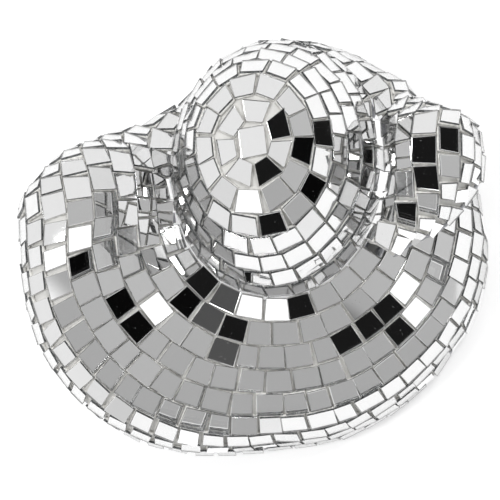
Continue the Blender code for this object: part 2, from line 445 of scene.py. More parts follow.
def cut_edge():
    """The snapped edge of silvered glass: dark and glossy, with paler chips."""
    made, tree, shader = shader_of("float_glass_snapped_edge", Base_Color=linear("edge"), Roughness=0.16,
                                   IOR=GLASS_IOR, Transmission_Weight=0.3)
    # A snapped edge has ripples about 1 mm apart.
    ripple = grained(tree, shader, 1.2 * MM, 2.0, 0.7, 0.3 * MM)
    two_toned(tree, shader, ripple, (0.4, 0.62), linear("edge"), linear("edge_chip"))
    return made


def silvering():
    """Silver coat deposited behind the glass: a clean mirror with a few pinholes that show the backing."""
    made, tree, shader = shader_of("silver_coat_deposited", Base_Color=linear("silver"), Metallic=1.0,
                                   Roughness=0.015)
    place = node(tree, "ShaderNodeTexCoord").outputs["Object"]
    # Pinholes of 0.1 to 0.2 mm are drawn 0.6 mm wide so that they show.
    cells = node(tree, "ShaderNodeTexVoronoi", {"Vector": place, "Scale": 1 / (5 * MM)})
    hole = node(tree, "ShaderNodeMath", {0: cells.outputs["Distance"], 1: 0.055}, operation="LESS_THAN")
    colour = node(tree, "ShaderNodeMix", {"Factor": hole.outputs[0], "A": linear("silver"),
                                          "B": linear("pinhole")}, data_type="RGBA")
    whole = node(tree, "ShaderNodeMath", {0: 1.0, 1: hole.outputs[0]}, operation="SUBTRACT")
    drive(tree, shader, Base_Color=colour.outputs["Result"], Metallic=whole.outputs[0])
    return made


def wool_felt():
    """Wool felt, blocked and stiffened with size: matt white with short fibres and a dry film of glue."""
    made, tree, shader = shader_of("wool_felt_blocked", Base_Color=linear("felt"), Roughness=0.9,
                                   Sheen_Weight=0.25, Sheen_Roughness=0.5)
    # Fibres are 0.03 mm thick and are drawn as tufts of about 0.8 mm.
    tufts = grained(tree, shader, 0.8 * MM, 4.0, 0.6, 0.4 * MM, Roughness=0.7, Distortion=1.2)
    place = node(tree, "ShaderNodeTexCoord").outputs["Object"]
    film = node(tree, "ShaderNodeTexNoise", {"Vector": place, "Scale": 1 / (9 * MM), "Detail": 3.0})
    both = node(tree, "ShaderNodeMix", {"Factor": 0.45, "A": tufts, "B": film.outputs["Fac"]},
                data_type="FLOAT")
    gloss = node(tree, "ShaderNodeMapRange", {"Value": film.outputs["Fac"], "From Min": 0.35,
                                              "From Max": 0.65, "To Min": 0.55, "To Max": 0.95})
    two_toned(tree, shader, both.outputs["Result"], (0.3, 0.62), linear("felt_shade"), linear("felt"))
    drive(tree, shader, Roughness=gloss.outputs["Result"])
    return made


def craft_glue():
    """PVA craft glue, dried: whitish, half clear and softly glossy where it squeezes out under a tile."""
    made, tree, shader = shader_of("pva_glue_dried", Base_Color=linear("glue"), Roughness=0.35, IOR=1.47)
    # The dried skin wrinkles about every 3 mm.
    wrinkle = grained(tree, shader, 3 * MM, 3.0, 0.5, 0.6 * MM)
    two_toned(tree, shader, wrinkle, (0.35, 0.6), linear("felt_shade"), linear("glue"))
    return made


def woven(name, light, dark, thread_across, thread_along, depth, **inputs):
    """Cloth whose threads follow the piece's own UV map, which is in metres of cloth."""
    made, tree, shader = shader_of(name, Base_Color=light, **inputs)
    cloth = node(tree, "ShaderNodeUVMap", uv_map="cloth").outputs["UV"]
    # A Wave texture repeats every 2 pi / 20 units at scale 1, so its scale is that over the spacing.
    turn = math.pi / 10
    across, along = (
        node(tree, "ShaderNodeTexWave", {"Vector": cloth, "Scale": turn / spacing, "Distortion": 0.3,
                                         "Detail": 1.0}, bands_direction=way).outputs["Fac"]
        for way, spacing in (("X", thread_across), ("Y", thread_along)))
    weave = node(tree, "ShaderNodeMath", {0: across, 1: along}, operation="MULTIPLY").outputs[0]
    slub = node(tree, "ShaderNodeTexNoise", {"Vector": cloth, "Scale": 1 / (14 * MM), "Detail": 3.0})
    both = node(tree, "ShaderNodeMix", {"Factor": 0.5, "A": weave, "B": slub.outputs["Fac"]},
                data_type="FLOAT")
    bump = node(tree, "ShaderNodeBump", {"Height": weave, "Strength": 0.5, "Distance": depth})
    two_toned(tree, shader, both.outputs["Result"], (0.2, 0.7), dark, light)
    drive(tree, shader, Normal=bump.outputs["Normal"])
    return made


def lining_satin(colour):
    """Polyester satin, woven with long floats: a soft grey sheen that runs with its folds."""
    return woven("polyester_satin_woven", colour, linear("satin_dark"), 0.9 * MM, 2.4 * MM, 0.08 * MM,
                 Roughness=0.34, Sheen_Weight=0.35, Sheen_Roughness=0.3, Anisotropic=0.5)


def grosgrain():
    """Viscose grosgrain ribbon, woven: black, matt, with fine cross ribs about 1 mm apart."""
    return woven("viscose_grosgrain_woven", linear("grosgrain"), linear("grosgrain_dark"), 1.1 * MM, 40 * MM,
                 0.35 * MM, Roughness=0.62, Sheen_Weight=0.2, Sheen_Roughness=0.4)


def metallised_ribbon():
    """Metallised polyester ribbon, woven: silver with a fine broken glitter."""
    return woven("metallised_ribbon_woven", linear("ribbon"), linear("ribbon_dark"), 0.8 * MM, 0.8 * MM,
                 0.2 * MM, Roughness=0.32, Metallic=0.7)


def sewing_thread(name, colour):
    """Spun polyester sewing thread, twisted: slightly fuzzy, with a soft shine."""
    made, tree, shader = shader_of(name, Base_Color=linear(colour), Roughness=0.55, Sheen_Weight=0.3)
    # The plies lie 0.2 mm apart and are drawn 0.4 mm apart.
    grained(tree, shader, 0.4 * MM, 2.0, 0.5, 0.1 * MM)
    return made


def cotton_wrapped_wire():
    """Millinery wire, steel wrapped with cotton: off-white with turns of thread round it."""
    made, tree, shader = shader_of("cotton_wrapped_wire", Base_Color=linear("wire"), Roughness=0.8)
    # The cotton turns lie 0.5 mm apart and are drawn 1 mm apart.
    turns = grained(tree, shader, MM, 1.0, 0.6, 0.2 * MM)
    two_toned(tree, shader, turns, (0.35, 0.6), linear("wire_shade"), linear("wire"))
    return made


# ---------------------------------------------------------------------------------------------
# Tiles

# How tiles are cut and laid. The shares are of the tile, of the joint or of the pitch.
JOINT_SHARES = (0.35, 0.75)
REACH_SHARES = (1.04, 1.12)
TALL_REACH = 1.1
LEAST_HALF_TILE = 0.001
RIDGE_RISE = 0.9
HOLLOW_DROP = 0.55
STEEPEST_LEAN = 7.0
FELT_CLEARANCE = 0.0005
LEAST_ROW = 0.34
LEAST_SPARE = 0.35
ROOT_GAP = 0.0002
MIDDLE_TILE = ((-1.0, -1.15), (0.98, -1.1), (1.04, 1.12), (-0.98, 1.16))
MIDDLE_TILE_TURN = 8
GLASS_BEVEL = 0.00028
PAD_BEVEL = 0.0007
PAD_SINK = 0.0006
GLUE_GAP = 0.00008
TILE_RISE = (-0.00025, 0.0002)
PAD_SPREAD = (1.0, 1.07)

CAMERA_TARGET = (-0.007, -0.0153, 0.109)
CAMERA_DISTANCE = 1.9
CAMERA_AZIMUTH = 50.0
CAMERA_ELEVATION = 75.0
SOFTBOX_DISTANCE = 2.6

# Patches of the room that the mirrors show: name, then azimuth, elevation, the angles from its
# middle where it is whole and where it ends, and its tone.
ROOM_PATCHES = {
    "grey_front": (35, 33, 42, 74, 0.50),
    "grey_right": (95, 30, 20, 50, 0.62),
    "ceiling_gap": (29, 71, 4.5, 6, 0.10),
    "flag_front": (21, 55, 1.8, 2.6, 0.012),
    "flag_back": (-119, 78, 1.8, 2.6, 0.012),
    "flag_low": (-8, 19, 1.8, 2.6, 0.010),
    "flag_side": (112, 11, 1.8, 2.6, 0.012),
    "flag_right": (85, 52, 1.8, 2.6, 0.004),
    "doorway": (64, 21, 1.8, 2.6, 0.003),
    "window_right": (73, 40, 4, 5, 1.5),
    "window_back": (-130, 75, 1.6, 2.2, 1.5),
    "window_front": (-19, 56, 4, 5, 1.5),
}
# Tiles that were laid leaning, by the patch of the room that they mirror: skin, turn and share.
LEANING_TILES = {
    "flag_back": (("crown", 343, 0.17), ("brim", 127, 0.06), ("brim", 362, 0.47)),
    "flag_side": (("crown", 352, 0.42), ("brim", 359, 0.60)),
    "flag_right": (("crown", 7, 0.30), ("brim", 131, 0.39), ("brim", 126, 0.17)),
    "doorway": (("crown", 31, 0.42), ("brim", 151, 0.50), ("brim", 138, 0.39)),
    "flag_front": (("crown", 61, 0.17), ("brim", 108, 0.17), ("brim", 79, 0.06), ("brim", 52, 0.33),
        ("brim", 54, 0.42), ("brim", 67, 0.29), ("brim", 370, 0.51)),
    "flag_low": (("crown", 74, 0.42), ("brim", 381, 0.48)),
    "window_front": (("crown", 91, 0.30), ("brim", 104, 0.06), ("brim", 92, 0.06)),
    "ceiling_gap": (("brim", 116, 0.06), ("brim", 117, 0.17), ("brim", 109, 0.28)),
    "window_right": (("brim", 131, 0.28), ("brim", 42, 0.31), ("brim", 46, 0.43), ("brim", 157, 0.50)),
}
# Soft boxes: name, direction, sides in metres, and power in watts.
SOFTBOXES = (
    ("softbox_left", -60, 66, 0.5, 0.5, 22.0),
    ("softbox_right", 120, 62, 0.5, 0.5, 22.0),
)


class Cell:
    """The room of one tile: its two sides' turns, and its inner and outer share at each side."""

    def __init__(self, skin, turns, inner, outer):
        self.skin = skin
        self.turns = turns
        self.inner = inner
        self.outer = outer


def crown_cells(dice):
    """The rooms of the crown's tiles, ring by ring round the middle tile."""
    ends = np.linspace(CENTRE_TILE_ROOM, CROWN_ARC - 0.001, CROWN_RINGS + 1) / CROWN_ARC
    for ring, (inner, outer) in enumerate(zip(ends, ends[1:])):
        middle = (inner + outer) / 2
        count = len(CROWN.even_turns(middle, 0, 360, pitch=settings().tile_pitch)) - 1
        start = dice.uniform(0, 360 / count)
        turns = CROWN.even_turns(middle, start, start + 360 - 1e-6, count=count)
        if ring == 0:
            turns = FIRST_RING
        yield from row_cells(CROWN, turns, lambda t, s=inner: s, lambda t, s=outer: s, dice)


def row_cells(skin, turns, inner, outer, dice):
    """Cells along a run of turns, whose cuts wander a little as hand-cut tiles do."""
    wander = settings().cut_wander
    turns = list(turns)
    step = turns[1] - turns[0]
    for i in range(1, len(turns) - 1):
        turns[i] += step * dice.gauss(0, wander)
    for a, b in zip(turns, turns[1:]):
        lean = step * dice.gauss(0, wander / 3)
        yield Cell(skin, (a + lean, b + lean), (inner(a), inner(b)), (outer(a), outer(b)))


def brim_cells(dice):
    """The rooms of the brim's tiles: rows that follow the crown, cut where the strip's edge crosses them."""
    known, widths = zip(*ROW_WIDTH)
    pitch = settings().tile_pitch
    scan = np.arange(BRIM_START, BRIM_END + 0.01, 0.5)

    def line(row, turn):
        return row / BRIM_ROWS * float(np.interp(turn, known, widths)) / brim_width(turn)

    def outer_line(row, turn):
        share = line(row + 1, turn)
        spare = (1 - share) * brim_width(turn)
        return 1.0 if spare < LEAST_SPARE * pitch else share

    for row in range(BRIM_ROWS):
        room = [(min(outer_line(row, t), 1.0) - line(row, t)) * brim_width(t) for t in scan]
        wide = [r > LEAST_ROW * pitch for r in room]
        run = []
        for t, there in zip([*scan, None], [*wide, False]):
            if there:
                run.append(t)
                continue
            if len(run) > 4:
                turns = walk_turns(BRIM, lambda x, r=row: min((line(r, x) + outer_line(r, x)) / 2, 1.0),
                                   run[0], run[-1], pitch)
                gap = ROOT_GAP if row == 0 else 0.0
                yield from row_cells(
                    BRIM, turns,
                    lambda x, r=row, g=gap: line(r, x) + g / brim_width(x),
                    lambda x, r=row: outer_line(r, x), dice)
            run = []


def walk_turns(skin, share, start, end, pitch):
    """Turns that cut a line whose share depends on the turn into equal lengths near the pitch."""
    turns = np.linspace(start, end, max(24, int((end - start) * 2)))
    length = run_length([skin.at(t, share(t)) for t in turns])
    count = max(1, round(length[-1] / pitch))
    return np.interp(np.linspace(0, length[-1], count + 1), length, turns)


def direction(azimuth, elevation):
    """The unit vector that points this way round and this high up; azimuth 0 is the hat's front."""
    a, e = math.radians(azimuth), math.radians(elevation)
    return np.array([math.sin(a) * math.cos(e), -math.cos(a) * math.cos(e), math.sin(e)])


VIEW_PLACE = np.array(CAMERA_TARGET) + CAMERA_DISTANCE * direction(CAMERA_AZIMUTH, CAMERA_ELEVATION)


def faced_patch(cell):
    """The way to the patch of the room that a badly laid tile mirrors, or None for the other tiles."""
    kind = "crown" if cell.skin is CROWN else "brim"
    # The crown closes on itself; the brim's ends wrap over each other and keep their own turns.
    wholes = (-360, 0, 360) if kind == "crown" else (0,)
    for patch, spots in LEANING_TILES.items():
        for skin, turn, share in spots:
            inside = any(cell.turns[0] <= turn + whole < cell.turns[1] for whole in wholes)
            if skin == kind and inside and sum(cell.inner) / 2 <= share < sum(cell.outer) / 2:
                return direction(*ROOM_PATCHES[patch][:2])
    return None


def felt_excess(cell, centre, normal):
    """How far a leaning tile has to rise along its normal for its glass to clear the felt under it."""
    excess = 0.0
    for across in (0.0, 0.5, 1.0):
        turn = cell.turns[0] + across * (cell.turns[1] - cell.turns[0])
        near = cell.inner[0] + across * (cell.inner[1] - cell.inner[0])
        far = cell.outer[0] + across * (cell.outer[1] - cell.outer[0])
        for out in (0.0, 0.5, 1.0):
            felt = cell.skin.below(turn, near + out * (far - near), FELT_DEPTH - FELT_CLEARANCE)
            excess = max(excess, (felt - centre).dot(normal) + settings().tile_glass)
    return excess


def tile_corners(cell, dice):
    """Where a cell's flat tile lies: its place, its three directions, and its corners on its own plane."""
    look = settings()
    skin = cell.skin
    corners = [skin.at(cell.turns[i], (cell.inner, cell.outer)[j][i])
               for i, j in ((0, 0), (1, 0), (1, 1), (0, 1))]
    middle = skin.at(sum(cell.turns) / 2, (sum(cell.inner) + sum(cell.outer)) / 4)
    a, b, c, d = corners
    normal = np.cross(c - a, d - b)
    normal /= np.linalg.norm(normal)
    along = (b + c - a - d)
    along -= normal * along.dot(normal)
    along /= np.linalg.norm(along)
    outward = np.cross(normal, along)
    if normal.dot(skin.directions(sum(cell.turns) / 2, (sum(cell.inner) + sum(cell.outer)) / 4)[2]) < 0:
        normal, outward = -normal, -outward
    centre = sum(corners) / 4
    bulge = (middle - centre).dot(normal)
    centre = centre + normal * bulge * (RIDGE_RISE if bulge > 0 else HOLLOW_DROP)
    flat = []
    joint = look.tile_joint
    for corner in corners:
        x, y = (corner - centre).dot(along), (corner - centre).dot(outward)
        gap_x, gap_y = (joint * dice.uniform(*JOINT_SHARES) for _ in range(2))
        x = math.copysign(max(abs(x) - gap_x, LEAST_HALF_TILE), x)
        y = math.copysign(max(abs(y) - gap_y, LEAST_HALF_TILE), y)
        reach = look.tile_size / 2 * dice.uniform(*REACH_SHARES)
        flat.append([math.copysign(min(abs(x), reach), x),
                     math.copysign(min(abs(y), reach * TALL_REACH), y)])
    turn = math.radians(dice.gauss(0, look.tile_twist))
    flat = [(x * math.cos(turn) - y * math.sin(turn), x * math.sin(turn) + y * math.cos(turn))
            for x, y in flat]
    lean = [math.radians(max(-STEEPEST_LEAN, min(STEEPEST_LEAN, dice.gauss(0, look.tile_tilt))))
            for _ in range(2)]
    facing = faced_patch(cell)
    if facing is None:
        normal = normal + along * math.tan(lean[0]) + outward * math.tan(lean[1])
    else:
        to_view = VIEW_PLACE - centre
        normal = to_view / np.linalg.norm(to_view) + facing
    normal /= np.linalg.norm(normal)
    if facing is not None:
        centre = centre + normal * felt_excess(cell, centre, normal)
    along = along - normal * along.dot(normal)
    along /= np.linalg.norm(along)
    outward = np.cross(normal, along)
    return centre, (along, outward, normal), flat


def bevelled_plate(size, thickness, bevel):
    """A thin square plate with its outer edges bevelled, as a mesh that many tiles share."""
    bm = bmesh.new()
    bmesh.ops.create_cube(bm, size=1)
    bmesh.ops.scale(bm, vec=(size, size, thickness), verts=bm.verts)
    bmesh.ops.bevel(bm, geom=list(bm.edges), offset=bevel, affect="EDGES", segments=1, profile=0.5,
                    material=-1)
    for face in bm.faces:
        face.material_index = 1 if face.normal.z < -0.9 else 2 if abs(face.normal.z) < 0.1 else 0
    mesh = bpy.data.meshes.new("plate")
    bm.to_mesh(mesh)
    bm.free()
    return mesh


def add_plate(bm, plate, size, place, directions, flat, low, scale=1.0):
    """Adds one plate, stretched to its four corners, with its middle this far below the skin."""
    along, outward, normal = directions

    def stretched(x, y, z):
        u, v = x / size + 0.5, y / size + 0.5
        shares = ((1 - u) * (1 - v), u * (1 - v), u * v, (1 - u) * v)
        x, y = (scale * sum(s * corner[i] for s, corner in zip(shares, flat)) for i in (0, 1))
        return place + along * x + outward * y + normal * (z - low)

    add_copy(bm, plate, stretched)


def middle_tile():
    """The tile on top of the crown, level and turned a little."""
    size = settings().tile_size / 2
    turn = math.radians(MIDDLE_TILE_TURN)
    along = np.array([math.cos(turn), math.sin(turn), 0.0])
    outward = np.array([-math.sin(turn), math.cos(turn), 0.0])
    flat = [(x * size, y * size) for x, y in MIDDLE_TILE]
    return CROWN.at(0, 0), (along, outward, np.array([0.0, 0.0, 1.0])), flat


def lay_tiles(name, places, replaces, dice):
    """Lays glass tiles in their places, and under each the pad of glue that holds it."""
    look = settings()
    glass, glue = bmesh.new(), bmesh.new()
    plate = bevelled_plate(look.tile_size, look.tile_glass, GLASS_BEVEL)
    pad_height = FELT_DEPTH - look.tile_glass + PAD_SINK
    pad = bevelled_plate(look.tile_size, pad_height, PAD_BEVEL)
    for place, directions, flat in places:
        rise = dice.uniform(*TILE_RISE)
        add_plate(glass, plate, look.tile_size, place, directions, flat, look.tile_glass / 2 - rise)
        low = look.tile_glass + GLUE_GAP + pad_height / 2 - rise
        add_plate(glue, pad, look.tile_size, place, directions, flat, low, dice.uniform(*PAD_SPREAD))
    bmesh.ops.recalc_face_normals(glass, faces=glass.faces)
    bmesh.ops.recalc_face_normals(glue, faces=glue.faces)
    finishes = [float_glass(look.glass_tint), silvering(), cut_edge()]
    piece_of(glass, name, finishes, replaces, False)
    piece_of(glue, name + "_glue", [craft_glue()] * 3)


class PARTYHAT_OT_crown_tiles(Operator):
    """Lay the rings of mirror tiles on the crown"""

    bl_idname = "party_hat.crown_tiles"
    bl_label = "Crown Tiles"

    def execute(self, context):
        dice = random.Random(settings().seed)
        rings = [f"crown_tile_ring_{n}" for n in range(1, CROWN_RINGS + 1)]
        places = [middle_tile(), *(tile_corners(cell, dice) for cell in crown_cells(dice))]
        lay_tiles("crown_tiles", places, ["crown_centre_tile", *rings], dice)
        return {"FINISHED"}


class PARTYHAT_OT_brim_tiles(Operator):
    """Lay the rows of mirror tiles on the brim"""

    bl_idname = "party_hat.brim_tiles"
    bl_label = "Brim Tiles"

    def execute(self, context):
        dice = random.Random(settings().seed + 1)
        rings = [f"brim_tile_ring_{n}" for n in range(1, BRIM_ROWS + 1)]
        lay_tiles("brim_tiles", [tile_corners(cell, dice) for cell in brim_cells(dice)], rings, dice)
        return {"FINISHED"}


# ---------------------------------------------------------------------------------------------
# Felt


class PARTYHAT_OT_felt(Operator):
    """Make the felt of the crown and of the brim, with its film of glue"""

    bl_idname = "party_hat.felt"
    bl_label = "Felt"

    def execute(self, context):
        felt = wool_felt()
        lift = rough_lift(0.0004, 5 * MM)
        around = np.linspace(0, 360, 181)
        shares = np.linspace(0, (CROWN_ARC - 0.002) / CROWN_ARC, 61)
        bm = laid_grid(CROWN, around, shares, FELT_DEPTH, True, lift)
        nodes = ["crown_felt_tip", *(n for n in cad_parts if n.startswith("crown_felt_side"))]
        crown = piece_of(bm, "crown_felt_bed", [felt], nodes)
        thicken(crown, FELT)
        turns = BRIM.even_turns(0.8, BRIM_START, BRIM_END, count=360)
        shares = [0.018, *np.linspace(0.03, 0.97, 60), 0.982]
        bm = laid_grid(BRIM, turns, shares, FELT_DEPTH, False, lift)
        nodes = [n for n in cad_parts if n.startswith("brim_felt")]
        brim = piece_of(bm, "brim_felt_bed", [felt], nodes)
        thicken(brim, FELT)
        return {"FINISHED"}


# ---------------------------------------------------------------------------------------------
# Linings, sweatband and edge


def gathered(depth, spacing, fade_start, fade_end):
    """Soft gathers this deep and this many degrees apart, which die out between two shares."""
    def lift(turn, share, point):
        wander = 0.5 * noise.noise(Vector(point) / 0.03)
        fold = 0.5 + 0.5 * math.sin(2 * math.pi * (turn / spacing + wander))
        return -depth * fold * float(1 - ease((share - fade_start) / (fade_end - fade_start)))
    return lift


STITCH_WIDTH = 0.0007
STITCH_HEIGHT = 0.0006
STITCH_LIFT = 0.0001
PIPING_SIDES = 14


def stitch_row(name, skin, turns, share, depth, thread, length):
    """A row of sewn stitches along a line of the skin, each a short rounded length of thread."""
    bm = bmesh.new()
    stitch = bevelled_plate(1.0, 1.0, 0.28)
    for a, b in zip(turns[::2], turns[1::2]):
        middle = (a + b) / 2
        around, outwards, normal = skin.directions(middle, share(middle))
        place = skin.below(middle, share(middle), depth)
        add_copy(bm, stitch, lambda x, y, z, at=place, a=around, o=outwards, n=normal:
                 at + a * x * length + o * y * STITCH_WIDTH + n * z * STITCH_HEIGHT)
    bmesh.ops.recalc_face_normals(bm, faces=bm.faces)
    return piece_of(bm, name, [thread] * 3)


def piped_edge(name, points, radius, rib, pitch, material, replaces):
    """A round piping along a path, wound with ribbon whose turns stand out as low ribs."""
    sides = PIPING_SIDES
    bm = bmesh.new()
    cloth = bm.loops.layers.uv.new("cloth")
    bmesh.ops.create_grid(bm, x_segments=len(points) - 1, y_segments=sides, size=0.5)
    points = np.array(points)
    way = np.gradient(points, axis=0)
    way /= np.linalg.norm(way, axis=1)[:, None]
    length = run_length(points)
    place = {}
    for vert in bm.verts:
        i = round((vert.co.x + 0.5) * (len(points) - 1))
        side = round((vert.co.y + 0.5) * sides)
        angle = 2 * math.pi * side / sides
        flat = np.cross(way[i], (0, 0, 1))
        flat /= np.linalg.norm(flat)
        up = np.cross(flat, way[i])
        wound = abs(math.sin(math.pi * length[i] / pitch + angle / 2))
        from_end = min(length[i], length[-1] - length[i])
        reach = radius * min(1.0, math.sqrt(max(from_end, 0.0) / radius + 0.04)) - rib * (1 - wound)
        vert.co = points[i] + (flat * math.cos(angle) + up * math.sin(angle)) * max(reach, 0.0003)
        place[vert] = (length[i], side / sides * 2 * math.pi * radius)
    set_cloth(bm, cloth, place)
    bmesh.ops.remove_doubles(bm, verts=bm.verts, dist=0.00002)
    bmesh.ops.holes_fill(bm, edges=[e for e in bm.edges if e.is_boundary], sides=0)
    bmesh.ops.recalc_face_normals(bm, faces=bm.faces)
    return piece_of(bm, name, [material], replaces)


class PARTYHAT_OT_linings(Operator):
    """Make the satin lining of the crown and the satin under the brim"""

    bl_idname = "party_hat.linings"
    bl_label = "Linings"

    def execute(self, context):
        satin = lining_satin(settings().satin_colour)
        band_top = (CROWN_ARC - 0.004 - SWEATBAND_HEIGHT) / CROWN_ARC
        shares = np.linspace(0, (CROWN_ARC - LINING_INSET) / CROWN_ARC, 57)
        gathers = gathered(0.0016, 9.0, band_top - 0.2, band_top - 0.04)

        def tip_seam(turn, share, point):
            ridge = 0.0011 * math.exp(-(((share - TIP_SHARE) * CROWN_ARC) / 0.0016) ** 2)
            gather = gathers(turn, share, point) if share > TIP_SHARE else 0.0
            return gather * min(1, (share - TIP_SHARE) * 12) - ridge

        bm = laid_grid(CROWN, np.linspace(0, 360, 241), shares, LINING_DEPTH, True, tip_seam)
        lining = piece_of(bm, "crown_satin_lining", [satin], ["crown_lining"])
        thicken(lining, LINING)

        def edge(trim):
            return lambda turn: trim / brim_width(turn)

        turns = BRIM.even_turns(0.8, BRIM_START + 0.5, BRIM_END - 0.5, count=420)
        inside = [lambda turn, s=s: edge(UNDERBRIM_INSET)(turn) + s * (1 - 2 * edge(UNDERBRIM_INSET)(turn))
                  for s in np.linspace(0, 1, 49)]
        bm = laid_grid(BRIM, turns, inside, UNDERBRIM_DEPTH, False, gathered(0.0012, 5.0, 0.25, 0.85))
        under = piece_of(bm, "underbrim_satin", [satin], ["underbrim_lining"])
        thicken(under, LINING)
        thread = sewing_thread("spun_polyester_thread_grey", "thread")
        stitch_turns = BRIM.even_turns(0.9, BRIM_START + 1, BRIM_END - 1, count=360)

        def hem(turn):
            return 1 - (UNDERBRIM_INSET + HEM_INSET) / brim_width(turn)

        stitch_row("underbrim_hem_stitches", BRIM, stitch_turns, hem, UNDERBRIM_DEPTH + LINING + STITCH_LIFT,
                   thread, 0.0034)
        return {"FINISHED"}


# The bow: its reach to each side, how far its loops stand out, its ribbon's width, and its knot.
BOW_REACH = 0.0145
BOW_LOFT = 0.0016
BOW_RIBBON = 0.0102
BOW_CLEARANCE = 0.0022
BOW_STEPS = 72
KNOT = (0.0036, 0.0048, 0.0042)


class PARTYHAT_OT_sweatband(Operator):
    """Make the ribbed sweatband with its two rows of stitches and the bow at the back"""

    bl_idname = "party_hat.sweatband"
    bl_label = "Sweatband"

    def execute(self, context):
        ribbon = grosgrain()
        low = (CROWN_ARC - 0.004) / CROWN_ARC
        high = low - SWEATBAND_HEIGHT / CROWN_ARC
        bm = laid_grid(CROWN, np.linspace(0, 360, 241), np.linspace(high, low, 15), SWEATBAND_DEPTH, True)
        band = piece_of(bm, "sweatband_ribbon", [ribbon], ["sweatband"])
        thicken(band, SWEATBAND)
        thread = sewing_thread("spun_polyester_thread_black", "dark_thread")
        for number, inset in enumerate((HEM_INSET, SWEATBAND_HEIGHT - HEM_INSET), 1):
            share = low - inset / CROWN_ARC
            turns = CROWN.even_turns(share, 0, 360 - 1e-6, count=200)
            stitch_row(f"sweatband_stitches_{number}", CROWN, turns, lambda t, s=share: s,
                       SWEATBAND_DEPTH + SWEATBAND + STITCH_LIFT, thread, 0.0032)
        self.bow(ribbon, low - 0.5 * SWEATBAND_HEIGHT / CROWN_ARC)
        return {"FINISHED"}

    def bow(self, ribbon, share):
        """A flat bow of narrow ribbon at the back of the band, where its ends meet."""
        around, outwards, normal = CROWN.directions(270, share)
        centre = CROWN.below(270, share, SWEATBAND_DEPTH + SWEATBAND + BOW_CLEARANCE)
        bm = bmesh.new()
        cloth = bm.loops.layers.uv.new("cloth")
        width = BOW_RIBBON
        bmesh.ops.create_grid(bm, x_segments=BOW_STEPS, y_segments=4, size=0.5)
        place = {}
        for vert in bm.verts:
            t = 2 * math.pi * (vert.co.x + 0.5)
            pinch = 0.6 + 0.4 * abs(math.sin(t))
            x = BOW_REACH * math.sin(t)
            z = BOW_LOFT * math.sin(2 * t)
            y = vert.co.y * width * pinch
            place[vert] = ((vert.co.x + 0.5) * 0.07, vert.co.y * width)
            vert.co = centre + around * x + outwards * y + normal * z
        set_cloth(bm, cloth, place)
        bmesh.ops.remove_doubles(bm, verts=bm.verts, dist=0.00002)
        loops = piece_of(bm, "bow_loops", [ribbon])
        thicken(loops, 0.0004)
        bm = bmesh.new()
        bm.from_mesh(bevelled_plate(1.0, 1.0, 0.2))
        bmesh.ops.bevel(bm, geom=list(bm.edges), offset=0.05, affect="EDGES", segments=2, profile=0.5,
                        material=-1)
        for vert in bm.verts:
            x, y, z = (part * size for part, size in zip(vert.co, KNOT))
            vert.co = centre + around * x + outwards * y + normal * z
        bmesh.ops.recalc_face_normals(bm, faces=bm.faces)
        piece_of(bm, "bow_knot", [ribbon] * 3)


class PARTYHAT_OT_edge(Operator):
    """Make the ribbon-wound piping round the brim's edge, and finish the wire inside the brim"""

    bl_idname = "party_hat.edge"
    bl_label = "Brim Edge"

    def execute(self, context):
        depth = FELT_DEPTH + FELT / 2
        reach = BINDING_RADIUS + BINDING_GAP - FELT_INSET
        turns = BRIM.even_turns(1.0, BRIM_START, BRIM_END, count=760)
        points = [BRIM.below(t, 1 + reach / brim_width(t), depth) for t in turns]
        nodes = [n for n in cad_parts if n.startswith("brim_binding")]
        piped_edge("brim_piping", points, BINDING_RADIUS, RIB, RIB_PITCH, metallised_ribbon(),
                   nodes)
        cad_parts["brim_wire"].material_slots[0].material = cotton_wrapped_wire()
        return {"FINISHED"}


# ---------------------------------------------------------------------------------------------
# The studio


